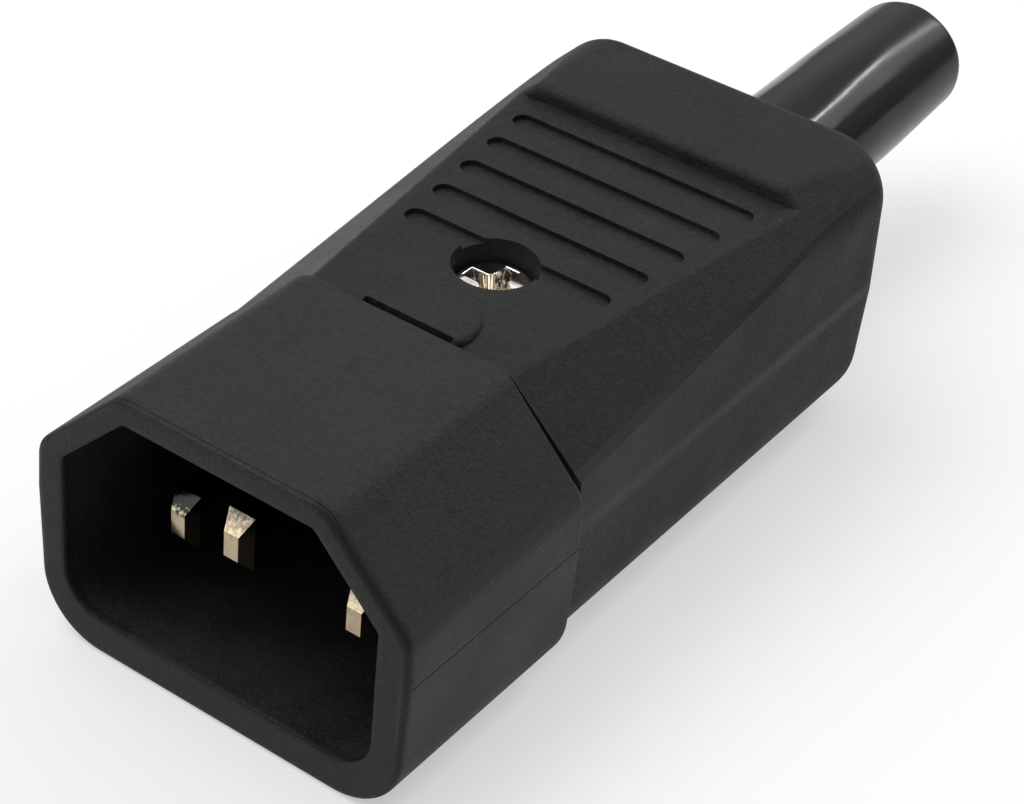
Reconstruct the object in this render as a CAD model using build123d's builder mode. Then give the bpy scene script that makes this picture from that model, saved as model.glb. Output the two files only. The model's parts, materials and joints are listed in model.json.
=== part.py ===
from build123d import *
import os

# Frame: origin at the middle of the mating opening, on the front face; +Y runs to the cord, +Z is up.

# Mating opening, 10 A three-blade pattern
opening_width = 24.5
opening_height = 16.5
opening_chamfer = 5.0
opening_corner_radius = 3.0
opening_soft_radius = 0.5
end_wall = 1.3

# Flat blades
blade_width = 2.0
blade_height = 4.0
live_spacing = 14.0
earth_rise = 4.0
live_tip_y = 4.7
earth_tip_y = 1.5
tip_width = 1.1
tip_height = 1.85
tip_length = 1.0

# Outside of the front body
front_half_width = 14.5
front_top = 9.9
front_rise = 0.3
base_z = -11.0
front_chamfer = 6.5
front_corner_radius = 4.8
front_soft_radius = 2.2
rim_radius = 0.45
seam_radius = 0.3
seam_y = 17.7
side_draft = 0.035

# Outside of the cover
cover_half_width = 13.9
cover_length = 38.9
lip_top = 11.3
lip_length = 10.6
lip_edge_radius = 0.7
step_lean = 0.15
finger_z_at_front = 9.15
finger_slope = 0.017
cover_corner_radius = 5.5
lip_corner_radius = 4.5
rear_radius = 2.0
cover_wall = 1.7
rear_wall = 2.0
facet_direction = (0.661, -0.097, 0.745)
facet_half_top = 7.85
facet_edge_radius = 0.6
facet_gap = 0.36
facet_gap_depth = 0.8

# Finger grip
groove_count = 5
groove_margin = 2.15
groove_pitch = 3.65
groove_width = 1.65
groove_depth = 0.36
groove_half_length = 9.82
groove_narrowing = 0.43

# Pry slot and its raised pad
pad_radius = 3.95
pad_height = 0.75
pad_setback = 1.7
pad_edge_radius = 0.55
pry_slot_width = 6.9
pry_slot_gap = 0.5

# Cover screw, M3
cover_screw_setback = 9.6
counterbore_radius = 2.95
head_sink = 1.5
head_height = 1.5
head_edge_radius = 0.5
cross_length = 4.3
cross_width = 1.1
cross_depth = 1.7
cross_corner_radius = 0.45
cross_base_share = 0.62
well_wall = 0.95
well_floor = 1.2
m3_radius = 1.5
nut_side = 5.5
nut_thickness = 1.8
nut_cover = 1.6
bridge_height = 5.2

# Bend-relief sleeve
sleeve_radius = 5.4
sleeve_bore_radius = 3.7
sleeve_tail_length = 27.8
sleeve_bend_radius = 33.0
sleeve_bend_angle = 3.4
sleeve_bend_inset = 0.7
sleeve_taper = 1.2
sleeve_end_radius = 0.6
flange_lip = 1.8
flange_thickness = 2.5

# Terminals, their carrier and the cord clamp
terminal_width = 5.0
terminal_wall = 2.0
terminal_bevel = 0.4
live_terminal_length = 7.6
live_terminal_height = 7.5
live_seat = 2.4
live_tail = 2.0
live_screw_setback = 4.9
live_wire_radius = 1.5
live_wire_rise = 3.2
live_head_radius = 2.2
live_head_height = 1.5
earth_terminal_length = 5.6
earth_terminal_height = 7.6
earth_seat = 3.1
earth_tail = 1.4
earth_screw_setback = 2.9
earth_screw_radius = 1.25
earth_wire_radius = 1.3
earth_wire_rise = 1.9
earth_head_radius = 1.8
earth_head_height = 1.4
screw_slot_width = 0.7
screw_slot_depth = 0.8
screw_bevel = 0.3
spigot_length = 3.2
shelf_thickness = 1.5
partition_wall = 1.0
carrier_wall = 0.8
carrier_wall_top = 2.4
clamp_from_rear = 14.7
clamp_length = 5.0
clamp_screw_x = 6.9
clamp_screw_radius = 1.3
clamp_screw_length = 7.4
clamp_boss_radius = 2.2
clamp_seat = 0.6
clamp_wing = 2.0
clamp_hump = 1.3
clamp_slope = 1.2
cradle_drop = 1.6
end_rib_width = 13.0
end_rib_thickness = 1.6
end_rib_drop = 1.0

# Clearances
slide_fit = 0.15
snug_fit = 0.03
carrier_gap = 0.3
nut_fit = 0.05
part_gap = 0.4

# Stations along the plug
recess_depth = seam_y - end_wall
cover_rear_y = seam_y + cover_length
step_y = cover_rear_y - lip_length
groove_rear_y = step_y - groove_margin
pad_centre_y = seam_y + pad_setback
cover_screw_y = seam_y + cover_screw_setback
cavity_end_y = cover_rear_y - rear_wall
flange_front_y = cavity_end_y - flange_thickness
sleeve_bend_start_y = cover_rear_y - sleeve_bend_inset
clamp_y = cover_rear_y - clamp_from_rear
clamp_front_y = clamp_y - clamp_length / 2
spigot_end_y = seam_y + spigot_length
terminal_front_y = recess_depth + terminal_wall
live_tail_y = terminal_front_y + live_tail
earth_tail_y = terminal_front_y + earth_tail
live_screw_y = terminal_front_y + live_screw_setback
earth_screw_y = terminal_front_y + earth_screw_setback
earth_terminal_end_y = terminal_front_y + earth_terminal_length
bridge_front_y = earth_terminal_end_y + part_gap
bridge_rear_y = 2 * cover_screw_y - bridge_front_y
carrier_end_y = bridge_rear_y + part_gap

# Heights
live_z = -earth_rise / 2
earth_z = earth_rise / 2
finger_at_seam = finger_z_at_front + finger_slope * seam_y
finger_at_step = finger_z_at_front + finger_slope * step_y
counterbore_floor = finger_z_at_front + finger_slope * cover_screw_y - head_sink - head_height
cavity_top = finger_at_seam - cover_wall
well_base = counterbore_floor - well_floor
floor_top = live_z - blade_height / 2 - live_seat
floor_base = floor_top - shelf_thickness
live_terminal_top = floor_top + live_terminal_height
live_wire_z = floor_top + live_wire_rise
earth_terminal_base = earth_z - blade_height / 2 - earth_seat
earth_terminal_top = earth_terminal_base + earth_terminal_height
earth_wire_z = earth_terminal_base + earth_wire_rise
bridge_base = well_base - bridge_height
nut_top = well_base - nut_cover
clamp_wing_top = clamp_seat + clamp_wing
clamp_top = sleeve_bore_radius + clamp_hump

# Widths
live_x = live_spacing / 2
partition_out = live_x - terminal_width / 2 - slide_fit
partition_in = partition_out - partition_wall
earth_terminal_width = 2 * (partition_in - slide_fit)
carrier_wall_in = live_x + terminal_width / 2 + carrier_gap
carrier_half = carrier_wall_in + carrier_wall
clamp_half = clamp_screw_x + clamp_boss_radius + snug_fit
clamp_foot = clamp_screw_x - live_head_radius - carrier_gap
flange_radius = sleeve_radius + flange_lip

facet_normal = Vector(*facet_direction).normalized()
facet_anchor = Vector(facet_half_top, seam_y, finger_at_seam)


def across(y):
    return Plane(origin=(0, y, 0), x_dir=(1, 0, 0), z_dir=(0, -1, 0))


def level(z):
    return Plane(origin=(0, 0, z), x_dir=(1, 0, 0), z_dir=(0, 0, 1))


def facet_cut(inset, side):
    normal = Vector(side * facet_normal.X, facet_normal.Y, facet_normal.Z)
    anchor = Vector(side * facet_anchor.X, facet_anchor.Y, facet_anchor.Z)
    return Plane(origin=anchor - normal * inset, z_dir=normal)


def on_facet(edge):
    spots = [edge @ share for share in (0, 0.5, 1)]
    return all(abs((Vector(abs(spot.X), spot.Y, spot.Z) - facet_anchor).dot(facet_normal)) < 0.001 for spot in spots)


def hood_outline(inset, top, top_radius):
    half = cover_half_width - inset
    low = base_z + inset
    at_base = half - side_draft * -low
    at_top = half - side_draft * top
    points = [(at_base, low), (half, 0), (at_top, top), (-at_top, top), (-half, 0), (-at_base, low)]
    Polygon(*points, align=None)
    fillet(vertices().sort_by(Axis.Y)[0:2], cover_corner_radius - inset)
    if top_radius > 0:
        fillet(vertices().sort_by(Axis.Y)[-2:], top_radius)


def chamfered_outline(half, draft, top, low, bevel, low_radius, soft_radius):
    at_base = half - draft * -low
    at_bevel = half - draft * (top - bevel)
    points = [(at_base, low), (half, 0), (at_bevel, top - bevel), (at_bevel - bevel, top)]
    mirrored = [(-x, z) for x, z in reversed(points)]
    Polygon(*points, *mirrored, align=None)
    fillet(vertices().sort_by(Axis.Y)[0:2], low_radius)
    if soft_radius > 0:
        fillet(vertices().sort_by(Axis.Y)[-4:], soft_radius)


# Hollow of the cover, kept as a shape to cut with
with BuildPart() as hollow:
    with BuildSketch(across(seam_y)):
        hood_outline(cover_wall, cavity_top, 0)
    extrude(amount=-(cavity_end_y - seam_y))
    for side in (-1, 1):
        split(bisect_by=facet_cut(cover_wall, side), keep=Keep.BOTTOM)

# Room inside the cover for what the front body carries
with BuildPart() as liner:
    with BuildSketch(across(recess_depth)):
        hood_outline(cover_wall + slide_fit, cavity_top - slide_fit, 0)
    extrude(amount=-(flange_front_y - recess_depth))
    for side in (-1, 1):
        split(bisect_by=facet_cut(cover_wall + slide_fit, side), keep=Keep.BOTTOM)

# Shelf, side walls and partitions that hold the terminals
with BuildPart() as carrier:
    carrier_mid_y = (spigot_end_y + carrier_end_y) / 2
    carrier_run = carrier_end_y - spigot_end_y
    with BuildSketch(level(floor_base)):
        with Locations((0, (recess_depth + carrier_end_y) / 2)):
            Rectangle(2 * carrier_half, carrier_end_y - recess_depth)
        with Locations((0, (carrier_end_y + flange_front_y) / 2)):
            Rectangle(2 * clamp_half, flange_front_y - carrier_end_y)
    extrude(amount=shelf_thickness)
    with BuildSketch(level(floor_top)):
        for side in (-1, 1):
            with Locations((side * (carrier_wall_in + carrier_half) / 2, carrier_mid_y)):
                Rectangle(carrier_wall, carrier_run)
    extrude(amount=carrier_wall_top - floor_top)
    with BuildSketch(level(floor_top)):
        for side in (-1, 1):
            with Locations((side * (partition_in + partition_out) / 2, carrier_mid_y)):
                Rectangle(partition_wall, carrier_run)
    extrude(amount=well_base - floor_top)
    with BuildSketch(level(bridge_base)):
        with Locations((0, cover_screw_y)):
            Rectangle(2 * partition_in, bridge_rear_y - bridge_front_y)
    extrude(amount=well_base - bridge_base)
    with BuildSketch(level(floor_top)):
        with Locations((0, (spigot_end_y + earth_terminal_end_y) / 2)):
            Rectangle(2 * partition_in, earth_terminal_end_y - spigot_end_y)
    extrude(amount=earth_terminal_base - floor_top)
    add(liner.part, mode=Mode.INTERSECT)

# Front body: shroud, wall and terminal carrier in one moulding
with BuildPart() as front_body:
    for y, top in ((0, front_top), (seam_y, front_top + front_rise)):
        with BuildSketch(across(y)):
            chamfered_outline(
                front_half_width, side_draft, top, base_z, front_chamfer, front_corner_radius, front_soft_radius
            )
    loft()
    fillet(faces().sort_by(Axis.Y)[0].edges(), rim_radius)
    fillet(faces().sort_by(Axis.Y)[-1].edges(), seam_radius)
    with BuildSketch(across(0)):
        chamfered_outline(
            opening_width / 2, 0, opening_height / 2, -opening_height / 2,
            opening_chamfer, opening_corner_radius, opening_soft_radius
        )
    extrude(amount=-recess_depth, mode=Mode.SUBTRACT)
    add(split(liner.part, bisect_by=across(spigot_end_y), keep=Keep.TOP, mode=Mode.PRIVATE))
    for side in (-1, 1):
        with BuildSketch(level(floor_top)):
            with Locations((side * live_x, (terminal_front_y + spigot_end_y) / 2)):
                Rectangle(terminal_width + 2 * slide_fit, spigot_end_y - terminal_front_y)
        extrude(amount=live_terminal_top + live_head_height + part_gap - floor_top, mode=Mode.SUBTRACT)
    with BuildSketch(level(earth_terminal_base)):
        with Locations((0, (terminal_front_y + spigot_end_y) / 2)):
            Rectangle(earth_terminal_width + 2 * slide_fit, spigot_end_y - terminal_front_y)
    extrude(amount=earth_terminal_height + earth_head_height + part_gap, mode=Mode.SUBTRACT)
    add(carrier.part)
    with BuildSketch(across(0)):
        with Locations((-live_x, live_z), (live_x, live_z), (0, earth_z)):
            Rectangle(blade_width + 2 * snug_fit, blade_height + 2 * snug_fit)
    extrude(amount=-terminal_front_y, mode=Mode.SUBTRACT)
    with BuildSketch(level(nut_top)):
        with Locations((0, (cover_screw_y - nut_side / 2 + bridge_rear_y) / 2)):
            Rectangle(nut_side + 2 * nut_fit, bridge_rear_y - cover_screw_y + nut_side / 2 + 2 * nut_fit)
    extrude(amount=-nut_thickness - 2 * nut_fit, mode=Mode.SUBTRACT)
    with BuildSketch(level(well_base)):
        with Locations((0, cover_screw_y)):
            Circle(m3_radius + slide_fit)
    extrude(amount=bridge_base - well_base, mode=Mode.SUBTRACT)
    with BuildSketch(across(clamp_front_y)):
        with Locations((0, (floor_top - cradle_drop) / 2)):
            Rectangle(2 * clamp_screw_x - clamp_boss_radius, -cradle_drop - floor_top)
    extrude(amount=-clamp_length)
    with BuildSketch(level(floor_top)):
        with Locations((-clamp_screw_x, clamp_y), (clamp_screw_x, clamp_y)):
            Circle(clamp_boss_radius)
    extrude(amount=clamp_seat - floor_top)
    with BuildSketch(across(flange_front_y - end_rib_thickness)):
        with Locations((0, (floor_top - end_rib_drop) / 2)):
            Rectangle(end_rib_width, -end_rib_drop - floor_top)
    extrude(amount=-end_rib_thickness)
    with BuildSketch(across(carrier_end_y)):
        Circle(sleeve_bore_radius)
    extrude(amount=-(flange_front_y - carrier_end_y), mode=Mode.SUBTRACT)
    with BuildSketch(level(clamp_seat)):
        with Locations((-clamp_screw_x, clamp_y), (clamp_screw_x, clamp_y)):
            Circle(clamp_screw_radius + snug_fit)
    extrude(amount=clamp_wing - clamp_screw_length - part_gap, mode=Mode.SUBTRACT)

# Half-round pad behind the pry slot: rounded edge, top falling to the rear
pad_top_fall = pad_height / (pad_setback + pad_radius)
with BuildPart() as pad:
    with BuildSketch(level(cavity_top)):
        with Locations((0, pad_centre_y)):
            Circle(pad_radius)
    extrude(amount=finger_at_seam + 2 * pad_height - cavity_top)
    split(
        bisect_by=Plane(
            origin=(0, seam_y, finger_at_seam + pad_height),
            x_dir=(1, 0, 0),
            z_dir=Vector(0, pad_top_fall - finger_slope, 1).normalized(),
        ),
        keep=Keep.BOTTOM,
    )
    fillet(faces().sort_by(Axis.Z)[-1].edges(), pad_edge_radius)
    split(bisect_by=across(seam_y + snug_fit), keep=Keep.BOTTOM)

# Thin strip at the front of the cover, for the gap along each facet
with BuildPart() as facet_strip:
    with BuildSketch(across(seam_y)):
        Rectangle(4 * cover_half_width, 4 * lip_top)
    extrude(amount=-facet_gap)

# Cover: one-piece hood
with BuildPart() as cover:
    with BuildSketch(across(seam_y)):
        hood_outline(0, lip_top, lip_corner_radius)
    extrude(amount=-(cover_rear_y - seam_y))
    fillet(faces().sort_by(Axis.Y)[-1].edges(), rear_radius)
    step_foot = (step_y, finger_at_step)
    lip_edge = (step_y + step_lean, lip_top - finger_slope * (lip_length - step_lean))
    lip_run_out = (2 * cover_rear_y, lip_top + finger_slope * cover_rear_y)
    with BuildSketch(Plane.YZ):
        Polygon(
            (0, finger_z_at_front), step_foot, lip_edge, lip_run_out,
            (2 * cover_rear_y, 2 * lip_top), (0, 2 * lip_top), align=None
        )
        fillet(vertices().sort_by_distance(lip_edge)[0], lip_edge_radius)
    extrude(amount=2 * cover_half_width, both=True, mode=Mode.SUBTRACT)
    for side in (-1, 1):
        split(bisect_by=facet_cut(0, side), keep=Keep.BOTTOM)
    top_edges = [edge for edge in edges() if on_facet(edge) and edge.center().Z > finger_at_seam]
    fillet(top_edges, facet_edge_radius)
    add(pad.part)
    add(hollow.part, mode=Mode.SUBTRACT)
    with BuildSketch(level(finger_at_seam - cover_wall / 2)):
        with Locations((0, cover_screw_y)):
            Circle(counterbore_radius + well_wall)
    extrude(amount=well_base - finger_at_seam + cover_wall / 2)
    finger_plane = Plane(origin=(0, 0, finger_z_at_front), x_dir=(1, 0, 0), z_dir=(0, -finger_slope, 1))
    with BuildSketch(finger_plane):
        for index in range(groove_count):
            with Locations((0, groove_rear_y - groove_width / 2 - index * groove_pitch)):
                SlotOverall(2 * (groove_half_length - index * groove_narrowing), groove_width)
    extrude(amount=-groove_depth, mode=Mode.SUBTRACT)
    with BuildSketch(level(lip_top)):
        with Locations((0, cover_screw_y)):
            Circle(counterbore_radius)
    extrude(amount=counterbore_floor - lip_top, mode=Mode.SUBTRACT)
    with BuildSketch(level(lip_top)):
        with Locations((0, cover_screw_y)):
            Circle(m3_radius + slide_fit)
    extrude(amount=well_base - lip_top, mode=Mode.SUBTRACT)
    with BuildSketch(level(lip_top)):
        with Locations((0, seam_y)):
            Rectangle(pry_slot_width, 2 * pry_slot_gap)
    extrude(amount=cavity_top - lip_top, mode=Mode.SUBTRACT)
    for side in (-1, 1):
        add(split(facet_strip.part, bisect_by=facet_cut(facet_gap_depth, side), mode=Mode.PRIVATE), mode=Mode.SUBTRACT)
    with BuildSketch(across(cavity_end_y)):
        Circle(sleeve_radius + slide_fit)
    extrude(amount=-rear_wall, mode=Mode.SUBTRACT)


def blade(x, z, tip_y, tail_y):
    with BuildPart() as made:
        for y, width, height in ((tip_y, tip_width, tip_height), (tip_y + tip_length, blade_width, blade_height)):
            with BuildSketch(across(y)):
                with Locations((x, z)):
                    Rectangle(width, height)
        loft()
        with BuildSketch(across(tip_y + tip_length)):
            with Locations((x, z)):
                Rectangle(blade_width, blade_height)
        extrude(amount=-(tail_y - tip_y - tip_length))
    return made.part


def terminal(x, width, low, top, length, blade_z, tail_y, screw_y, wire_z, wire_radius, screw_radius):
    rear_y = terminal_front_y + length
    with BuildPart() as made:
        with BuildSketch(level(low)):
            with Locations((x, terminal_front_y + length / 2)):
                Rectangle(width, length)
        extrude(amount=top - low)
        chamfer(edges().filter_by(Axis.Y).sort_by(Axis.Z)[-2:], terminal_bevel)
        with BuildSketch(across(terminal_front_y)):
            with Locations((x, blade_z)):
                Rectangle(blade_width + 2 * snug_fit, blade_height + 2 * snug_fit)
        extrude(amount=-(tail_y - terminal_front_y), mode=Mode.SUBTRACT)
        with BuildSketch(across(rear_y)):
            with Locations((x, wire_z)):
                Circle(wire_radius)
        extrude(amount=rear_y - tail_y - part_gap, mode=Mode.SUBTRACT)
        with BuildSketch(level(top)):
            with Locations((x, screw_y)):
                Circle(screw_radius + snug_fit)
        extrude(amount=wire_z - top, mode=Mode.SUBTRACT)
    return made.part


def slotted_screw(x, y, seat, length, shank_radius, head_radius, head_thickness):
    with BuildPart() as made:
        with BuildSketch(level(seat)):
            with Locations((x, y)):
                Circle(head_radius)
        extrude(amount=head_thickness)
        with BuildSketch(level(seat)):
            with Locations((x, y)):
                Circle(shank_radius)
        extrude(amount=-length)
        round_edges = edges().filter_by(GeomType.CIRCLE).sort_by(Axis.Z)
        chamfer([round_edges[0], round_edges[-1]], screw_bevel)
        with BuildSketch(level(seat + head_thickness)):
            with Locations((x, y)):
                Rectangle(2 * head_radius, screw_slot_width)
        extrude(amount=-screw_slot_depth, mode=Mode.SUBTRACT)
    return made.part


# Saddle that grips the cord
with BuildPart() as cord_clamp:
    with BuildSketch(across(clamp_front_y)):
        clamp_side = [
            (clamp_half, clamp_seat),
            (clamp_half, clamp_wing_top),
            (clamp_foot, clamp_wing_top),
            (clamp_foot - clamp_slope, clamp_top),
        ]
        Polygon(*clamp_side, *[(-x, z) for x, z in reversed(clamp_side)], align=None)
        Circle(sleeve_bore_radius, mode=Mode.SUBTRACT)
    extrude(amount=-clamp_length)
    with BuildSketch(level(clamp_wing_top)):
        with Locations((-clamp_screw_x, clamp_y), (clamp_screw_x, clamp_y)):
            Circle(clamp_screw_radius + slide_fit)
    extrude(amount=-clamp_wing, mode=Mode.SUBTRACT)

# Cover screw with a cross recess
with BuildPart() as cover_screw:
    with BuildSketch(level(counterbore_floor)):
        with Locations((0, cover_screw_y)):
            Circle(counterbore_radius - slide_fit)
    extrude(amount=head_height)
    fillet(edges().filter_by(GeomType.CIRCLE).sort_by(Axis.Z)[-1], head_edge_radius)
    with BuildSketch(level(counterbore_floor)):
        with Locations((0, cover_screw_y)):
            Circle(m3_radius)
    extrude(amount=bridge_base + part_gap - counterbore_floor)
    chamfer(edges().filter_by(GeomType.CIRCLE).sort_by(Axis.Z)[0], screw_bevel)
    for depth, share in ((0, 1), (cross_depth, cross_base_share)):
        with BuildSketch(level(counterbore_floor + head_height - depth)):
            with Locations((0, cover_screw_y)):
                Rectangle(share * cross_length, share * cross_width)
                Rectangle(share * cross_width, share * cross_length)
            inner_corners = vertices().sort_by_distance((0, cover_screw_y))[0:4]
            fillet(inner_corners, share * cross_corner_radius)
    loft(mode=Mode.SUBTRACT)

# Captive square nut
with BuildPart() as cover_nut:
    with BuildSketch(level(nut_top)):
        with Locations((0, cover_screw_y)):
            Rectangle(nut_side, nut_side)
            Circle(m3_radius + snug_fit, mode=Mode.SUBTRACT)
    extrude(amount=-nut_thickness)

# Sleeve: flange and collar in the cover, a small set upward, then a tapered tail
tail_plane = Plane(
    origin=Vector(0, sleeve_bend_start_y, sleeve_bend_radius)
    + Vector(0, 0, -sleeve_bend_radius).rotate(Axis.X, sleeve_bend_angle),
    x_dir=(1, 0, 0),
    z_dir=Vector(0, 1, 0).rotate(Axis.X, sleeve_bend_angle),
)
with BuildPart() as sleeve:
    with BuildSketch(across(flange_front_y)):
        Circle(flange_radius)
    extrude(amount=-flange_thickness)
    with BuildSketch(across(flange_front_y)):
        Circle(sleeve_radius)
    extrude(amount=-(sleeve_bend_start_y - flange_front_y))
    with BuildLine(Plane.YZ) as bend:
        CenterArc((sleeve_bend_start_y, sleeve_bend_radius), sleeve_bend_radius, -90, sleeve_bend_angle)
    with BuildSketch(across(sleeve_bend_start_y)):
        Circle(sleeve_radius)
    sweep(path=bend.line)
    with BuildSketch(tail_plane):
        Circle(sleeve_radius)
    extrude(amount=sleeve_tail_length, taper=sleeve_taper)
    fillet(edges().filter_by(GeomType.CIRCLE).sort_by(Axis.Y)[-1], sleeve_end_radius)
    with BuildSketch(across(flange_front_y)):
        Circle(sleeve_bore_radius)
    extrude(amount=-(sleeve_bend_start_y - flange_front_y), mode=Mode.SUBTRACT)
    with BuildSketch(across(sleeve_bend_start_y)):
        Circle(sleeve_bore_radius)
    sweep(path=bend.line, mode=Mode.SUBTRACT)
    with BuildSketch(tail_plane):
        Circle(sleeve_bore_radius)
    extrude(amount=sleeve_tail_length, mode=Mode.SUBTRACT)

pieces = {
    "front_body": front_body.part,
    "rear_cover": cover.part,
    "cord_clamp": cord_clamp.part,
    "cover_screw": cover_screw.part,
    "cover_nut": cover_nut.part,
    "bend_relief_sleeve": sleeve.part,
    "earth_blade": blade(0, earth_z, earth_tip_y, earth_tail_y),
    "earth_terminal": terminal(
        0, earth_terminal_width, earth_terminal_base, earth_terminal_top, earth_terminal_length, earth_z, earth_tail_y,
        earth_screw_y, earth_wire_z, earth_wire_radius, earth_screw_radius
    ),
    "earth_terminal_screw": slotted_screw(
        0, earth_screw_y, earth_terminal_top, earth_terminal_top - earth_wire_z - earth_wire_radius / 2,
        earth_screw_radius, earth_head_radius, earth_head_height
    ),
}
for name, side in (("line", 1), ("neutral", -1)):
    pieces[name + "_blade"] = blade(side * live_x, live_z, live_tip_y, live_tail_y)
    pieces[name + "_terminal"] = terminal(
        side * live_x, terminal_width, floor_top, live_terminal_top, live_terminal_length, live_z, live_tail_y,
        live_screw_y, live_wire_z, live_wire_radius, m3_radius
    )
    pieces[name + "_terminal_screw"] = slotted_screw(
        side * live_x, live_screw_y, live_terminal_top, live_terminal_top - live_wire_z - live_wire_radius / 2,
        m3_radius, live_head_radius, live_head_height
    )
for name, side in (("right", 1), ("left", -1)):
    pieces["cord_clamp_screw_" + name] = slotted_screw(
        side * clamp_screw_x, clamp_y, clamp_wing_top, clamp_screw_length,
        clamp_screw_radius, live_head_radius, live_head_height
    )

os.makedirs("parts", exist_ok=True)
for name, piece in pieces.items():
    piece.label = name
    export_step(piece, "parts/" + name + ".step")
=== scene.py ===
import json
import math
import bpy
from mathutils import Euler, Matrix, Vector


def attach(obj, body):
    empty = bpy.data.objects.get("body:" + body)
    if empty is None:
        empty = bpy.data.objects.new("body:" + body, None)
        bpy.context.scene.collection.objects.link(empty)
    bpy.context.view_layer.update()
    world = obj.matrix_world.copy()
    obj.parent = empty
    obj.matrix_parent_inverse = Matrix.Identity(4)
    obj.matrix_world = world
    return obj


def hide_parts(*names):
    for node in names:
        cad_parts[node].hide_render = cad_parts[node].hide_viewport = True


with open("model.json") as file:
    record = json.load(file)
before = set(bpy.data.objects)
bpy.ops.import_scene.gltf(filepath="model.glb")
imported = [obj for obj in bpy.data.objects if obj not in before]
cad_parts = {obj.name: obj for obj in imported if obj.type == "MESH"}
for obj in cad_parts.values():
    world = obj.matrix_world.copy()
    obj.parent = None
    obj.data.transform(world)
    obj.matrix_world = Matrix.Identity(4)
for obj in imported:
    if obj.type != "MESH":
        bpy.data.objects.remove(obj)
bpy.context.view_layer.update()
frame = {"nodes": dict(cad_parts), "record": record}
nodes = frame["nodes"]
print("frame loaded,", len(nodes), "nodes")


# small helpers for node trees

# gives a socket either a value or a link from another socket
def feed(tree, value, socket):
    if isinstance(value, bpy.types.NodeSocket):
        tree.links.new(value, socket)
    else:
        socket.default_value = value


def addNode(tree, kind, place, **values):
    node = tree.nodes.new(kind)
    node.location = place
    for name, value in values.items():
        setattr(node, name, value)
    return node


def groupNode(tree, group, place, values):
    node = addNode(tree, "ShaderNodeGroup", place, node_tree=group)
    for label, value in values.items():
        node.inputs[label].default_value = value
    return node


def mathNode(tree, operation, place, first, second=0.0, clamp=False):
    node = addNode(tree, "ShaderNodeMath", place, operation=operation, use_clamp=clamp)
    feed(tree, first, node.inputs[0])
    feed(tree, second, node.inputs[1])
    return node.outputs[0]


def vectorNode(tree, operation, place, first, second):
    node = addNode(tree, "ShaderNodeVectorMath", place, operation=operation)
    feed(tree, first, node.inputs[0])
    feed(tree, second, node.inputs[1])
    return node.outputs


def rangeNode(tree, place, value, low, high, toLow=0.0, toHigh=1.0, curve="LINEAR"):
    node = addNode(tree, "ShaderNodeMapRange", place, interpolation_type=curve)
    feed(tree, value, node.inputs["Value"])
    feed(tree, low, node.inputs["From Min"])
    feed(tree, high, node.inputs["From Max"])
    feed(tree, toLow, node.inputs["To Min"])
    feed(tree, toHigh, node.inputs["To Max"])
    return node.outputs[0]


def mixNode(tree, kind, place, share, first, second):
    node = addNode(tree, "ShaderNodeMix", place, data_type=kind)
    feed(tree, share, node.inputs["Factor"])
    feed(tree, first, node.inputs["A"])
    feed(tree, second, node.inputs["B"])
    return node.outputs["Result"]


def noiseNode(tree, place, vector, scale, detail, rough):
    node = addNode(tree, "ShaderNodeTexNoise", place)
    feed(tree, vector, node.inputs["Vector"])
    feed(tree, scale, node.inputs["Scale"])
    feed(tree, detail, node.inputs["Detail"])
    feed(tree, rough, node.inputs["Roughness"])
    return node.outputs["Fac"]


def objectSpot(tree, place):
    return addNode(tree, "ShaderNodeTexCoord", place).outputs["Object"]


def splitNode(tree, place, vector):
    node = addNode(tree, "ShaderNodeSeparateXYZ", place)
    feed(tree, vector, node.inputs[0])
    return node.outputs


def newGroup(name, inputs, outputs):
    group = bpy.data.node_groups.new(name, "ShaderNodeTree")
    for label, kind, value in inputs:
        socket = group.interface.new_socket(label, in_out="INPUT", socket_type=kind)
        socket.default_value = value
    for label, kind in outputs:
        group.interface.new_socket(label, in_out="OUTPUT", socket_type=kind)
    entry = addNode(group, "NodeGroupInput", (-1200, 0)).outputs
    leave = addNode(group, "NodeGroupOutput", (900, 0)).inputs
    return group, entry, leave


finishOutputs = [
    ("Color", "NodeSocketColor"),
    ("Roughness", "NodeSocketFloat"),
    ("Height", "NodeSocketFloat"),
]
# middle of a noise, which swings from 0 to 1
noiseMiddle = 0.5

# spark-eroded mould grain: fine pits, slow mottling, sparse pale scuffs, and a roughness that follows them
mouldNoise = {
    "grain": {"detail": 3.0, "rough": 0.6},
    "slow": {"scale": 160.0, "detail": 4.0, "rough": 0.55},
    "speck": {"scale": 2600.0, "detail": 2.0, "rough": 0.5},
    "dust": {"scale": 1500.0, "detail": 2.0, "rough": 0.6},
    "scuffFrom": 0.72,
    "scuffFull": 0.82,
}


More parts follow.
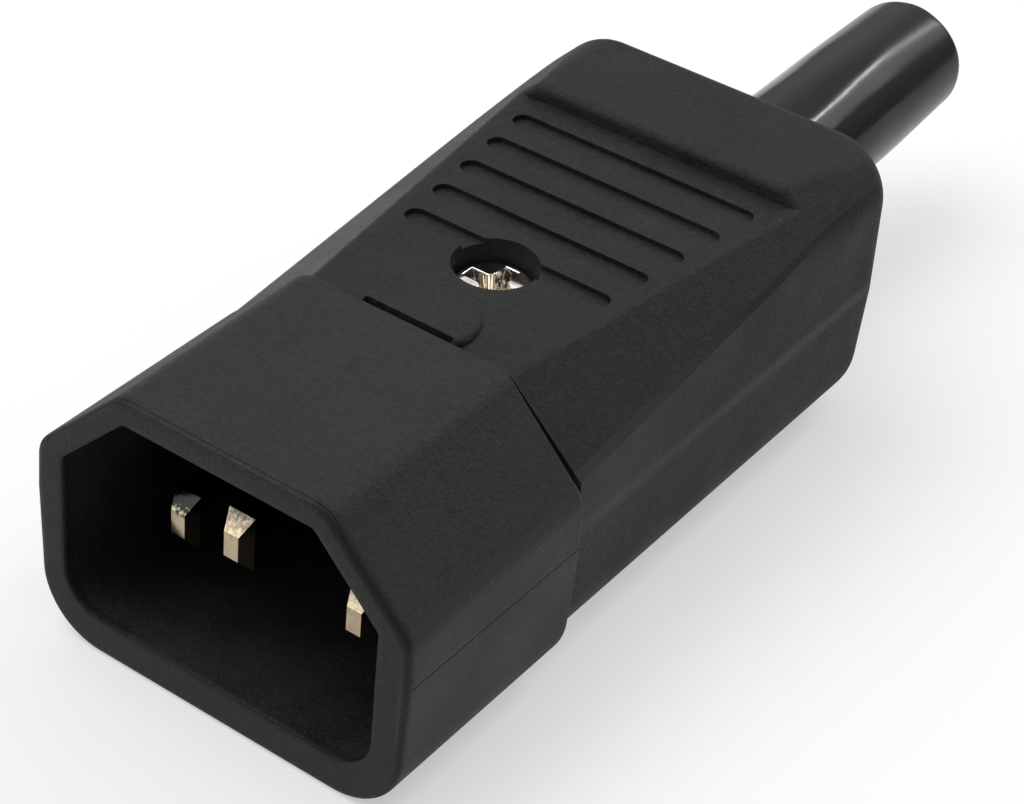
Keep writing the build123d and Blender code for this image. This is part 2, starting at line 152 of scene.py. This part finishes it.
def makeMouldGrain():
    group, entry, leave = newGroup("mouldGrain", [
        ("Tone", "NodeSocketColor", (0.01, 0.01, 0.01, 1)),
        ("Scuff Tone", "NodeSocketColor", (0.1, 0.1, 0.1, 1)),
        ("Grain Per Metre", "NodeSocketFloat", 6000.0),
        ("Mottle", "NodeSocketFloat", 0.2),
        ("Scuff Share", "NodeSocketFloat", 0.3),
        ("Rough Mid", "NodeSocketFloat", 0.5),
        ("Rough Spread", "NodeSocketFloat", 0.1),
    ], finishOutputs)
    spot = objectSpot(group, (-1200, -300))
    grain = noiseNode(group, (-900, 0), spot, entry["Grain Per Metre"], **mouldNoise["grain"])
    slow = noiseNode(group, (-900, -250), spot, **mouldNoise["slow"])
    speck = noiseNode(group, (-900, -500), spot, **mouldNoise["speck"])
    dust = noiseNode(group, (-900, -750), spot, **mouldNoise["dust"])
    pits = mathNode(group, "SUBTRACT", (-600, 200), grain, noiseMiddle)
    swing = mathNode(group, "SUBTRACT", (-600, -250), slow, noiseMiddle)
    fleck = mathNode(group, "SUBTRACT", (-600, -500), speck, noiseMiddle)
    mottle = mathNode(group, "ADD", (-420, -300), swing, fleck)
    uneven = mathNode(group, "MULTIPLY", (-240, -300), mottle, entry["Mottle"])
    tint = addNode(group, "ShaderNodeVectorMath", (-60, -200), operation="SCALE")
    feed(group, entry["Tone"], tint.inputs[0])
    feed(group, mathNode(group, "ADD", (-60, -400), uneven, 1.0), tint.inputs["Scale"])
    sparse = rangeNode(group, (-600, -750), dust, mouldNoise["scuffFrom"], mouldNoise["scuffFull"])
    scuff = mathNode(group, "MULTIPLY", (-420, -750), sparse, entry["Scuff Share"], True)
    worn = mixNode(group, "RGBA", (200, -250), scuff, tint.outputs[0], entry["Scuff Tone"])
    patchy = mathNode(group, "ADD", (-420, 200), swing, pits)
    lift = mathNode(group, "MULTIPLY", (-240, 200), patchy, entry["Rough Spread"])
    rough = mathNode(group, "ADD", (120, 200), lift, entry["Rough Mid"], True)
    feed(group, worn, leave["Color"])
    feed(group, rough, leave["Roughness"])
    feed(group, grain, leave["Height"])
    return group


# a line or band: 1 along its middle, 0 from its edge on, and only outside, above and behind the given places
def makeHairLine():
    group, entry, leave = newGroup("hairLine", [
        ("Way", "NodeSocketVector", (0.0, 0.0, 1.0)),
        ("At", "NodeSocketFloat", 0.0),
        ("Half Line", "NodeSocketFloat", 0.0001),
        ("Outside", "NodeSocketFloat", 0.0),
        ("Above", "NodeSocketFloat", -1.0),
        ("Behind", "NodeSocketFloat", -1.0),
    ], [("Mask", "NodeSocketFloat")])
    spot = objectSpot(group, (-1200, -300))
    along = vectorNode(group, "DOT_PRODUCT", (-900, 0), spot, entry["Way"])["Value"]
    past = mathNode(group, "SUBTRACT", (-700, 0), along, entry["At"])
    off = mathNode(group, "ABSOLUTE", (-500, 0), past)
    fade = mathNode(group, "DIVIDE", (-300, 0), off, entry["Half Line"])
    line = mathNode(group, "SUBTRACT", (-100, 0), 1.0, fade, True)
    axes = splitNode(group, (-900, -300), spot)
    apart = mathNode(group, "ABSOLUTE", (-700, -300), axes["X"])
    for reach, label in ((apart, "Outside"), (axes["Z"], "Above"), (axes["Y"], "Behind")):
        within = mathNode(group, "GREATER_THAN", (-500, -300), reach, entry[label])
        line = mathNode(group, "MULTIPLY", (200, 0), line, within)
    feed(group, line, leave["Mask"])
    return group


# drawn or turned metal: fine lines along one way, cloudy tarnish, and painted shade that thickens with
# height
metalNoise = {
    "lines": {"scale": 9000.0, "detail": 3.0, "rough": 0.6},
    "cloud": {"scale": 900.0, "detail": 4.0, "rough": 0.6},
    "speck": {"scale": 3600.0, "detail": 2.0, "rough": 0.6},
    "cloudFrom": 0.45,
    "cloudFull": 0.75,
    "raggedBy": 0.0022,
}


def makeMetalFinish():
    group, entry, leave = newGroup("metalFinish", [
        ("Tone", "NodeSocketColor", (0.8, 0.8, 0.8, 1)),
        ("Tarnish", "NodeSocketColor", (0.4, 0.3, 0.2, 1)),
        ("Tarnish Share", "NodeSocketFloat", 0.2),
        ("Shade From", "NodeSocketFloat", 1.0),
        ("Shade Full", "NodeSocketFloat", 2.0),
        ("Line Way", "NodeSocketVector", (1.0, 1.0, 0.1)),
        ("Rough Mid", "NodeSocketFloat", 0.25),
        ("Rough Spread", "NodeSocketFloat", 0.2),
    ], finishOutputs)
    spot = objectSpot(group, (-1200, -300))
    drawn = vectorNode(group, "MULTIPLY", (-1000, 100), spot, entry["Line Way"])[0]
    lines = noiseNode(group, (-800, 100), drawn, **metalNoise["lines"])
    cloud = noiseNode(group, (-800, -250), spot, **metalNoise["cloud"])
    speck = noiseNode(group, (-800, -700), spot, **metalNoise["speck"])
    edge = rangeNode(group, (-560, -250), cloud, metalNoise["cloudFrom"], metalNoise["cloudFull"])
    cloudy = mathNode(group, "MULTIPLY", (-360, -250), edge, entry["Tarnish Share"], True)
    # painted shade: darker above a given height, with a ragged edge
    height = splitNode(group, (-1000, -550), spot)["Z"]
    swing = mathNode(group, "SUBTRACT", (-600, -700), speck, noiseMiddle)
    shift = mathNode(group, "MULTIPLY", (-500, -700), swing, metalNoise["raggedBy"])
    ragged = mathNode(group, "ADD", (-420, -550), height, shift)
    heightShade = rangeNode(group, (-240, -550), ragged, entry["Shade From"], entry["Shade Full"])
    share = mathNode(group, "MAXIMUM", (-200, -350), cloudy, heightShade)
    color = mixNode(group, "RGBA", (-120, -150), share, entry["Tone"], entry["Tarnish"])
    ridge = mathNode(group, "SUBTRACT", (-560, 150), lines, noiseMiddle)
    lift = mathNode(group, "MULTIPLY", (-360, 150), ridge, entry["Rough Spread"])
    rough = mathNode(group, "ADD", (-120, 150), lift, entry["Rough Mid"], True)
    feed(group, color, leave["Color"])
    feed(group, rough, leave["Roughness"])
    feed(group, lines, leave["Height"])
    return group


mouldGrain = makeMouldGrain()
metalFinish = makeMetalFinish()
hairLine = makeHairLine()
bevelSamples = 8


def softNormal(tree, radius):
    soft = addNode(tree, "ShaderNodeBevel", (-500, -500), samples=bevelSamples)
    soft.inputs["Radius"].default_value = radius
    return soft.outputs["Normal"]


# true normal of the mesh, or one with soft edges, which may grow softer over a run along the plug
def edgeNormal(tree, shading):
    if "softEdge" in shading:
        normal = softNormal(tree, shading["softEdge"])
    else:
        normal = addNode(tree, "ShaderNodeNewGeometry", (-700, -500)).outputs["Normal"]
    if "softRun" in shading:
        along = splitNode(tree, (-900, -700), objectSpot(tree, (-1100, -700)))["Y"]
        share = rangeNode(tree, (-700, -700), along, *shading["softRun"])
        softer = softNormal(tree, shading["softerEdge"])
        normal = mixNode(tree, "VECTOR", (-300, -600), share, normal, softer)
    return normal


# a line may be cut into the surface (depth), change its grey to paint light or shade on the surface, or take
# some of its roughness (smooth)
def dressedMaterial(name, group, look, shading, lines=()):
    material = bpy.data.materials.new(name)
    material.use_nodes = True
    tree = material.node_tree
    shader = tree.nodes["Principled BSDF"].inputs
    finish = groupNode(tree, group, (-900, 200), look).outputs
    color = finish["Color"]
    roughness = finish["Roughness"]
    height = finish["Height"]
    for line in lines:
        mask = groupNode(tree, hairLine, (-900, -300), line["place"]).outputs["Mask"]
        if "depth" in line:
            depth = mathNode(tree, "MULTIPLY", (-700, -300), mask, line["depth"])
            height = mathNode(tree, "SUBTRACT", (-500, -200), height, depth)
        if "paintedLight" in line:
            grey = (line["paintedLight"],) * 3 + (1,)
            color = mixNode(tree, "RGBA", (-500, 300), mask, color, grey)
        if "smooth" in line:
            less = mathNode(tree, "MULTIPLY", (-700, 400), mask, line["smooth"])
            roughness = mathNode(tree, "SUBTRACT", (-500, 400), roughness, less, True)
    if "dullRun" in shading:
        # handled end, duller than the rest
        along = splitNode(tree, (-900, 500), objectSpot(tree, (-1100, 500)))["Y"]
        start, end = shading["dullRun"]
        dulled = rangeNode(tree, (-700, 500), along, start, end, 0.0, shading["dullBy"], "SMOOTHSTEP")
        roughness = mathNode(tree, "ADD", (-500, 500), roughness, dulled, True)
    bump = addNode(tree, "ShaderNodeBump", (-250, -100))
    bump.inputs["Strength"].default_value = shading["bumpStrength"]
    bump.inputs["Distance"].default_value = shading["bumpDepth"]
    feed(tree, edgeNormal(tree, shading), bump.inputs["Normal"])
    feed(tree, height, bump.inputs["Height"])
    feed(tree, color, shader["Base Color"])
    feed(tree, roughness, shader["Roughness"])
    feed(tree, bump.outputs["Normal"], shader["Normal"])
    shader["Metallic"].default_value = shading["metallic"]
    shader["Specular IOR Level"].default_value = shading["specular"]
    return material


# matt black moulding of the shroud and the hood
plasticLook = {
    "Tone": (0.0105, 0.0105, 0.011, 1), "Scuff Tone": (0.06, 0.06, 0.06, 1),
    "Grain Per Metre": 4600.0, "Mottle": 1.8, "Scuff Share": 0.5,
    "Rough Mid": 0.62, "Rough Spread": 0.3,
}
plasticShading = {"metallic": 0.0, "specular": 0.29, "bumpStrength": 0.9, "bumpDepth": 0.00008}
shroudShading = {**plasticShading, "softEdge": 0.00015, "softerEdge": 0.0007, "softRun": (0.0018, 0.001)}
hoodShading = {**plasticShading, "specular": 0.23, "softerEdge": 0.0013, "softRun": (0.0467, 0.0482)}
alongPlug = (0, 1, 0)
upPlug = (0, 0, 1)
leftFacetWay = (-0.6606, -0.0969, 0.7445)
shroudLines = [
    # sides painted paler: a painted sheen of light on them
    {"place": {"Way": upPlug, "At": -0.003, "Half Line": 0.016, "Outside": 0.0139}, "paintedLight": 0.022},
    # mould joint along the sides
    {"place": {"Way": upPlug, "At": -0.00005, "Half Line": 0.0002, "Outside": 0.0134, "Behind": 0.0006},
     "depth": 2.4},
    # pale line at the seam: a painted highlight along the rounded edge
    {"place": {"Way": alongPlug, "At": 0.01765, "Half Line": 0.00022, "Outside": 0.0136}, "paintedLight": 0.1},
    # painted shade along the rounding of the rim
    {"place": {"Way": alongPlug, "At": 0.0003, "Half Line": 0.0006, "Outside": 0.007, "Behind": 0.00004},
     "paintedLight": 0.0},
    # edge of that rounding along the top
    {"place": {"Way": alongPlug, "At": 0.00036, "Half Line": 0.00009, "Above": 0.0088}, "depth": 1.2},
    # hairline all round the rim
    {"place": {"Way": alongPlug, "At": 0.00006, "Half Line": 0.00007}, "depth": 0.5},
]
hoodLines = [
    # left facet, smoother
    {"place": {"Way": leftFacetWay, "At": 0.010506, "Half Line": 0.0006}, "smooth": 0.1},
    # sides, painted shade darker to the rear
    {"place": {"Way": alongPlug, "At": 0.052, "Half Line": 0.03, "Outside": 0.0132}, "paintedLight": 0.0},
    # sides painted paler at the front: a painted sheen of light on them
    {"place": {"Way": alongPlug, "At": 0.0165, "Half Line": 0.022, "Outside": 0.0132, "Above": 0.0004},
     "paintedLight": 0.022},
    # mould joint along the sides, with a painted highlight as a pale line along its crease
    {"place": {"Way": upPlug, "At": 0.0004, "Half Line": 0.0008, "Outside": 0.0132}, "paintedLight": 0.034},
]
shroudPlastic = dressedMaterial("shroudPlastic", mouldGrain, plasticLook, shroudShading, shroudLines)
hoodPlastic = dressedMaterial("hoodPlastic", mouldGrain, plasticLook, hoodShading, hoodLines)

# soft glossy vinyl of the sleeve
sleeveLook = {
    "Tone": (0.011, 0.011, 0.0115, 1), "Scuff Tone": (0.03, 0.03, 0.03, 1),
    "Grain Per Metre": 1100.0, "Mottle": 0.3, "Scuff Share": 0.2,
    "Rough Mid": 0.14, "Rough Spread": 0.05,
}
sleeveShading = {
    "metallic": 0.0, "specular": 0.16, "bumpStrength": 0.06, "bumpDepth": 0.0001,
    "dullRun": (0.0738, 0.0798), "dullBy": 0.1,
}
sleeveVinyl = dressedMaterial("sleeveVinyl", mouldGrain, sleeveLook, sleeveShading)

# plain nylon of the cord clamp
clampLook = {
    "Tone": (0.03, 0.03, 0.032, 1), "Scuff Tone": (0.08, 0.08, 0.08, 1),
    "Grain Per Metre": 4000.0, "Mottle": 0.4, "Scuff Share": 0.3,
    "Rough Mid": 0.55, "Rough Spread": 0.15,
}
clampShading = {"metallic": 0.0, "specular": 0.4, "bumpStrength": 0.4, "bumpDepth": 0.00003}
clampNylon = dressedMaterial("clampNylon", mouldGrain, clampLook, clampShading)

# drawn metal of the blades
bladeLook = {
    "Tone": (0.46, 0.38, 0.255, 1), "Tarnish": (0.06, 0.055, 0.05, 1), "Tarnish Share": 0.25,
    "Line Way": (1.0, 0.08, 1.0), "Rough Mid": 0.09, "Rough Spread": 0.04,
}
bladeShading = {"metallic": 1.0, "specular": 0.5, "bumpStrength": 0.02, "bumpDepth": 0.00002}
# painted shade on the tips, standing in for bevels that catch less light: it starts at a different height on
# each tip, and it is darkest on the neutral one
bladeTipShade = {
    "earth_blade": {"Shade From": 0.0026, "Shade Full": 0.0040},
    "line_blade": {"Shade From": -0.0016, "Shade Full": 0.0002},
    "neutral_blade": {"Shade From": -0.0014, "Shade Full": -0.0008, "Tarnish": (0.025, 0.025, 0.025, 1)},
}
tipShadedBlades = {}
for blade, tipShade in bladeTipShade.items():
    tipShadedBlades[blade] = dressedMaterial(blade + "Metal", metalFinish, {**bladeLook, **tipShade}, bladeShading)

# bright plating of the cover screw
nickelLook = {
    "Tone": (0.86, 0.82, 0.76, 1), "Tarnish": (0.36, 0.24, 0.15, 1), "Tarnish Share": 0.5,
    "Line Way": (0.35, 0.35, 0.03), "Rough Mid": 0.09, "Rough Spread": 0.08,
}
nickelShading = {
    "metallic": 1.0, "specular": 0.5, "bumpStrength": 0.2, "bumpDepth": 0.00002, "softEdge": 0.00014,
}
nickelScrew = dressedMaterial("nickelScrew", metalFinish, nickelLook, nickelShading)

# machined brass of the terminals, zinc plate of the small screws
brassLook = {
    "Tone": (0.78, 0.57, 0.27, 1), "Tarnish": (0.45, 0.28, 0.12, 1), "Tarnish Share": 0.35,
    "Line Way": (1.0, 0.1, 1.0), "Rough Mid": 0.32, "Rough Spread": 0.2,
}
zincLook = {
    "Tone": (0.62, 0.63, 0.62, 1), "Tarnish": (0.5, 0.47, 0.36, 1), "Tarnish Share": 0.3,
    "Line Way": (0.4, 0.4, 1.0), "Rough Mid": 0.35, "Rough Spread": 0.2,
}
innerShading = {"metallic": 1.0, "specular": 0.5, "bumpStrength": 0.1, "bumpDepth": 0.00002}
turnedBrass = dressedMaterial("turnedBrass", metalFinish, brassLook, innerShading)
zincPlate = dressedMaterial("zincPlate", metalFinish, zincLook, innerShading)

slotMaterials = {
    "body_plastic": hoodPlastic, "sleeve_plastic": sleeveVinyl, "clamp_plastic": clampNylon,
    "terminal_metal": turnedBrass, "screw_metal": zincPlate, "bright_metal": nickelScrew,
}
nodeMaterials = {"front_body": shroudPlastic, **tipShadedBlades}
for piece in frame["record"]["subparts"]:
    mesh = nodes[piece["node"]].data
    mesh.materials.clear()
    mesh.materials.append(nodeMaterials.get(piece["node"]) or slotMaterials[piece["material_slot"]])
print("materials placed")


# bend-relief sleeve, turned on a profile and then set upwards along its path
sleeveSizes = {
    "Collar Start": 0.0521, "Flange Radius": 0.0072, "Flange Thickness": 0.0025, "Root Radius": 0.0054,
    "Bore Radius": 0.0037, "Tail Length": 0.0278, "Tail Slope": math.tan(math.radians(1.2)),
    "End Rounding": 0.0006, "Bend Start": 0.0559, "Bend Radius": 0.033, "Bend Angle": math.radians(3.4),
    "Ripple": 0.0003, "Ripple Per Metre": 190.0,
}
sleeveRipple = {"stretch": 0.45, "detail": 1.0, "rough": 0.5}
sleeveMesh = {"joinWithin": 0.000002, "sharpFrom": math.radians(40)}
sleeveSteps = {"around": 96, "flange": 1, "outside": 72, "rounding": 6, "endFace": 1, "bore": 40}
# stretches of the profile in order, each with the key of its step count
sleeveProfile = [
    ("out", "flange"), ("edge", "flange"), ("in", "flange"), ("tail", "outside"),
    ("nose", "rounding"), ("face", "endFace"), ("back", "bore"),
]


def makeSleeveTree(material):
    tree = bpy.data.node_groups.new("sleeveTurning", "GeometryNodeTree")
    tree.interface.new_socket("Geometry", in_out="INPUT", socket_type="NodeSocketGeometry")
    for label, value in sleeveSizes.items():
        socket = tree.interface.new_socket(label, in_out="INPUT", socket_type="NodeSocketFloat")
        socket.default_value = value
    tree.interface.new_socket("Geometry", in_out="OUTPUT", socket_type="NodeSocketGeometry")
    size = addNode(tree, "NodeGroupInput", (-1800, 0)).outputs
    leave = addNode(tree, "NodeGroupOutput", (2200, 0)).inputs

    def calc(operation, first, second=0.0):
        return mathNode(tree, operation, (0, 0), first, second)

    # one grid about the origin: across is the turn, along is the step on the profile
    gridHalf = 0.5
    stepCount = sum(sleeveSteps[key] for name, key in sleeveProfile)
    grid = addNode(tree, "GeometryNodeMeshGrid", (-1500, 300))
    grid.inputs["Size X"].default_value = 2 * gridHalf
    grid.inputs["Size Y"].default_value = 2 * gridHalf
    grid.inputs["Vertices X"].default_value = sleeveSteps["around"] + 1
    grid.inputs["Vertices Y"].default_value = stepCount + 1
    gridSpot = addNode(tree, "GeometryNodeInputPosition", (-1700, 0)).outputs[0]
    gridAxes = splitNode(tree, (-1500, 0), gridSpot)
    turn = calc("MULTIPLY", calc("ADD", gridAxes["X"], gridHalf), 2 * math.pi)
    step = calc("MULTIPLY", calc("ADD", gridAxes["Y"], gridHalf), float(stepCount))

    # share of each stretch of the profile that lies before this step
    share = {}
    begin = 0
    for name, key in sleeveProfile:
        end = begin + sleeveSteps[key]
        share[name] = rangeNode(tree, (-1100, -200 * len(share)), step, begin, end)
        begin = end

    # place along the sleeve
    bendLength = calc("MULTIPLY", size["Bend Radius"], size["Bend Angle"])
    tailStart = calc("ADD", size["Bend Start"], bendLength)
    tailEnd = calc("ADD", tailStart, size["Tail Length"])
    shoulder = calc("ADD", size["Collar Start"], size["Flange Thickness"])
    plainRun = calc("SUBTRACT", calc("SUBTRACT", tailEnd, size["End Rounding"]), shoulder)
    noseTurn = calc("MULTIPLY", share["nose"], math.pi / 2)
    noseRise = calc("MULTIPLY", size["End Rounding"], calc("SINE", noseTurn))
    edgeRun = calc("MULTIPLY", share["edge"], size["Flange Thickness"])
    tailRun = calc("MULTIPLY", share["tail"], plainRun)
    outwardRun = calc("ADD", calc("ADD", edgeRun, tailRun), noseRise)
    wholeRun = calc("SUBTRACT", tailEnd, size["Collar Start"])
    backRun = calc("MULTIPLY", share["back"], wholeRun)
    along = calc("ADD", size["Collar Start"], calc("SUBTRACT", outwardRun, backRun))

    # radius of the profile
    noseDrop = calc("MULTIPLY", size["End Rounding"], calc("SUBTRACT", 1.0, calc("COSINE", noseTurn)))
    tapered = calc("MAXIMUM", calc("SUBTRACT", calc("ADD", shoulder, tailRun), tailStart), 0.0)
    taper = calc("MULTIPLY", tapered, size["Tail Slope"])
    endRun = calc("SUBTRACT", size["Tail Length"], size["End Rounding"])
    endTaper = calc("MULTIPLY", endRun, size["Tail Slope"])
    endRadius = calc("SUBTRACT", calc("SUBTRACT", size["Root Radius"], endTaper), size["End Rounding"])
    flangeUp = calc("MULTIPLY", share["out"], calc("SUBTRACT", size["Flange Radius"], size["Bore Radius"]))
    flangeDown = calc("MULTIPLY", share["in"], calc("SUBTRACT", size["Flange Radius"], size["Root Radius"]))
    faceDown = calc("MULTIPLY", share["face"], calc("SUBTRACT", endRadius, size["Bore Radius"]))
    outside = calc("SUBTRACT", calc("ADD", size["Bore Radius"], flangeUp), flangeDown)
    plainRadius = calc("SUBTRACT", calc("SUBTRACT", calc("SUBTRACT", outside, taper), noseDrop), faceDown)

    # soft vinyl is never dead straight: slow ripples, longer along the sleeve than around it
    across = calc("COSINE", turn)
    upward = calc("SINE", turn)
    rippleSpot = addNode(tree, "ShaderNodeCombineXYZ", (0, -600))
    feed(tree, calc("MULTIPLY", across, size["Root Radius"]), rippleSpot.inputs[0])
    feed(tree, calc("MULTIPLY", along, sleeveRipple["stretch"]), rippleSpot.inputs[1])
    feed(tree, calc("MULTIPLY", upward, size["Root Radius"]), rippleSpot.inputs[2])
    wave = noiseNode(tree, (200, -600), rippleSpot.outputs[0], size["Ripple Per Metre"],
                     sleeveRipple["detail"], sleeveRipple["rough"])
    ripple = calc("MULTIPLY", calc("SUBTRACT", wave, noiseMiddle), size["Ripple"])
    radius = calc("ADD", plainRadius, ripple)

    # the straight turned tube follows the path: straight, a short arc, straight again
    past = calc("SUBTRACT", along, size["Bend Start"])
    bent = calc("MAXIMUM", calc("DIVIDE", past, size["Bend Radius"]), 0.0)
    angle = calc("MINIMUM", bent, size["Bend Angle"])
    rest = calc("SUBTRACT", past, calc("MULTIPLY", angle, size["Bend Radius"]))
    sine = calc("SINE", angle)
    cosine = calc("COSINE", angle)
    lift = calc("MULTIPLY", radius, upward)
    arcAhead = calc("MULTIPLY", size["Bend Radius"], sine)
    restAhead = calc("MULTIPLY", rest, cosine)
    ahead = calc("SUBTRACT", calc("ADD", arcAhead, restAhead), calc("MULTIPLY", lift, sine))
    arcRise = calc("MULTIPLY", size["Bend Radius"], calc("SUBTRACT", 1.0, cosine))
    restRise = calc("MULTIPLY", rest, sine)
    rise = calc("ADD", calc("ADD", arcRise, restRise), calc("MULTIPLY", lift, cosine))
    place = addNode(tree, "ShaderNodeCombineXYZ", (1200, -200))
    feed(tree, calc("MULTIPLY", radius, across), place.inputs[0])
    feed(tree, calc("ADD", size["Bend Start"], ahead), place.inputs[1])
    feed(tree, rise, place.inputs[2])

    # grid set on those places, closed and dressed
    shape = addNode(tree, "GeometryNodeSetPosition", (1400, 200))
    feed(tree, grid.outputs["Mesh"], shape.inputs["Geometry"])
    feed(tree, place.outputs[0], shape.inputs["Position"])
    close = addNode(tree, "GeometryNodeMergeByDistance", (1600, 200))
    close.inputs["Distance"].default_value = sleeveMesh["joinWithin"]
    feed(tree, shape.outputs[0], close.inputs["Geometry"])
    real = addNode(tree, "GeometryNodeRealizeInstances", (1800, 200))
    feed(tree, close.outputs[0], real.inputs[0])
    dress = addNode(tree, "GeometryNodeSetMaterial", (2000, 200))
    dress.inputs["Material"].default_value = material
    feed(tree, real.outputs[0], dress.inputs["Geometry"])
    feed(tree, dress.outputs[0], leave[0])
    return tree


def makeSleeve(material):
    tree = makeSleeveTree(material)
    seed = bpy.data.objects.new("sleeveSeed", bpy.data.meshes.new("sleeveSeed"))
    bpy.context.scene.collection.objects.link(seed)
    modifier = seed.modifiers.new("turning", "NODES")
    modifier.node_group = tree
    for item in tree.interface.items_tree:
        if item.in_out == "INPUT" and item.name in sleeveSizes:
            modifier[item.identifier] = sleeveSizes[item.name]
    turned = seed.evaluated_get(bpy.context.evaluated_depsgraph_get())
    mesh = bpy.data.meshes.new_from_object(turned)
    seed.modifiers.remove(modifier)
    bpy.data.objects.remove(seed)
    mesh.shade_smooth()
    mesh.set_sharp_from_angle(angle=sleeveMesh["sharpFrom"])
    sleeve = bpy.data.objects.new("bendReliefSleeve", mesh)
    bpy.context.scene.collection.objects.link(sleeve)
    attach(sleeve, "root")
    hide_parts("bend_relief_sleeve")
    print("sleeve turned,", len(mesh.polygons), "faces")


makeSleeve(sleeveVinyl)


# white table
table = {"z": -0.01102, "size": 6.0, "tone": 0.8, "rough": 0.9, "specular": 0.0, "paperShare": 0.45}


def makeFloor():
    half = table["size"] / 2
    mesh = bpy.data.meshes.new("floor")
    corners = [(-half, -half), (half, -half), (half, half), (-half, half)]
    mesh.from_pydata([(x, y, table["z"]) for x, y in corners], [], [(0, 1, 2, 3)])
    floor = bpy.data.objects.new("floor", mesh)
    bpy.context.scene.collection.objects.link(floor)
    paint = bpy.data.materials.new("tableWhite")
    paint.use_nodes = True
    tree = paint.node_tree
    shader = tree.nodes["Principled BSDF"]
    shader.inputs["Base Color"].default_value = (table["tone"],) * 3 + (1,)
    shader.inputs["Roughness"].default_value = table["rough"]
    shader.inputs["Specular IOR Level"].default_value = table["specular"]
    # seen directly or in a reflection the table is part white paper, so the shadow on it stays pale
    paper = addNode(tree, "ShaderNodeEmission", (0, -300))
    ray = addNode(tree, "ShaderNodeLightPath", (-600, 300)).outputs
    mirrored = mathNode(tree, "MAXIMUM", (-450, 300), ray["Is Glossy Ray"], ray["Is Transmission Ray"])
    seen = mathNode(tree, "MAXIMUM", (-300, 300), ray["Is Camera Ray"], mirrored)
    blend = addNode(tree, "ShaderNodeMixShader", (300, 0))
    feed(tree, mathNode(tree, "MULTIPLY", (-100, 300), seen, table["paperShare"]), blend.inputs[0])
    feed(tree, shader.outputs[0], blend.inputs[1])
    feed(tree, paper.outputs[0], blend.inputs[2])
    feed(tree, blend.outputs[0], tree.nodes["Material Output"].inputs["Surface"])
    mesh.materials.append(paint)


# white surround, greyer at the horizon, dimmer towards the right rear and dark behind the camera
surround = {"strength": 0.98, "horizon": 0.3, "whiteFrom": 0.5}
dimPlaces = [
    {"way": (0.8, 0.6, 0.0), "from": -0.2, "full": 0.9, "level": 0.66},
    {"way": (0.43, -0.68, 0.59), "from": 0.8, "full": 0.98, "level": 0.1},
]


def makeSurround():
    world = bpy.data.worlds.new("surround")
    bpy.context.scene.world = world
    world.use_nodes = True
    tree = world.node_tree
    sky = tree.nodes["Background"]
    way = addNode(tree, "ShaderNodeTexCoord", (-900, 0)).outputs["Generated"]
    height = splitNode(tree, (-700, 0), way)["Z"]
    tone = rangeNode(tree, (-500, 0), height, 0.0, surround["whiteFrom"],
                     surround["horizon"], 1.0, "SMOOTHSTEP")
    for dim in dimPlaces:
        lean = vectorNode(tree, "DOT_PRODUCT", (-700, -250), way, dim["way"])["Value"]
        shade = rangeNode(tree, (-500, -250), lean, dim["from"], dim["full"], 1.0, dim["level"])
        tone = mathNode(tree, "MULTIPLY", (-250, 0), tone, shade)
    feed(tree, tone, sky.inputs["Color"])
    sky.inputs["Strength"].default_value = surround["strength"]


# soft lamp overhead, strip and wider band behind for the sleeve's streak, weak card in front
lamps = {
    "overhead": {"place": (-0.28, -0.14, 0.58), "target": (0, 0.04, 0), "size": (0.5, 0.5), "watts": 2.3},
    "strip": {"place": (0.115, 0.55, 0.45), "target": (0, 0.07, 0), "size": (0.016, 0.3), "watts": 0.78},
    "card": {"place": (-0.26, -0.38, 0.38), "target": (0, 0.0, 0), "size": (0.15, 0.15), "watts": 0.12},
    "band": {"place": (0.21, 0.54, 0.39), "target": (0, 0.07, 0), "size": (0.15, 0.3), "watts": 0.42},
}


def addLamp(name, place, target, size, watts):
    lamp = bpy.data.lights.new(name, "AREA")
    lamp.shape = "RECTANGLE"
    lamp.size, lamp.size_y = size
    lamp.energy = watts
    holder = bpy.data.objects.new(name, lamp)
    holder.location = place
    holder.rotation_euler = (Vector(target) - Vector(place)).to_track_quat("-Z", "Y").to_euler()
    bpy.context.scene.collection.objects.link(holder)


makeFloor()
makeSurround()
for lampName, lampSettings in lamps.items():
    addLamp(lampName, **lampSettings)

# camera at the photo's viewing angle
shot = {
    "place": (0.0773376, -0.0911013, 0.1022350), "turn": (53.66506, -4.66823, 35.78478),
    "lens": 92.0525, "sensor": 36.0, "clipStart": 0.005,
}
camera = bpy.data.cameras.new("camera")
camera.sensor_width = shot["sensor"]
camera.lens = shot["lens"]
camera.clip_start = shot["clipStart"]
holder = bpy.data.objects.new("camera", camera)
holder.location = shot["place"]
holder.rotation_euler = Euler([math.radians(v) for v in shot["turn"]], "XYZ")
bpy.context.scene.collection.objects.link(holder)
bpy.context.scene.camera = holder
bpy.context.scene.view_settings.view_transform = "Standard"
print("studio set")
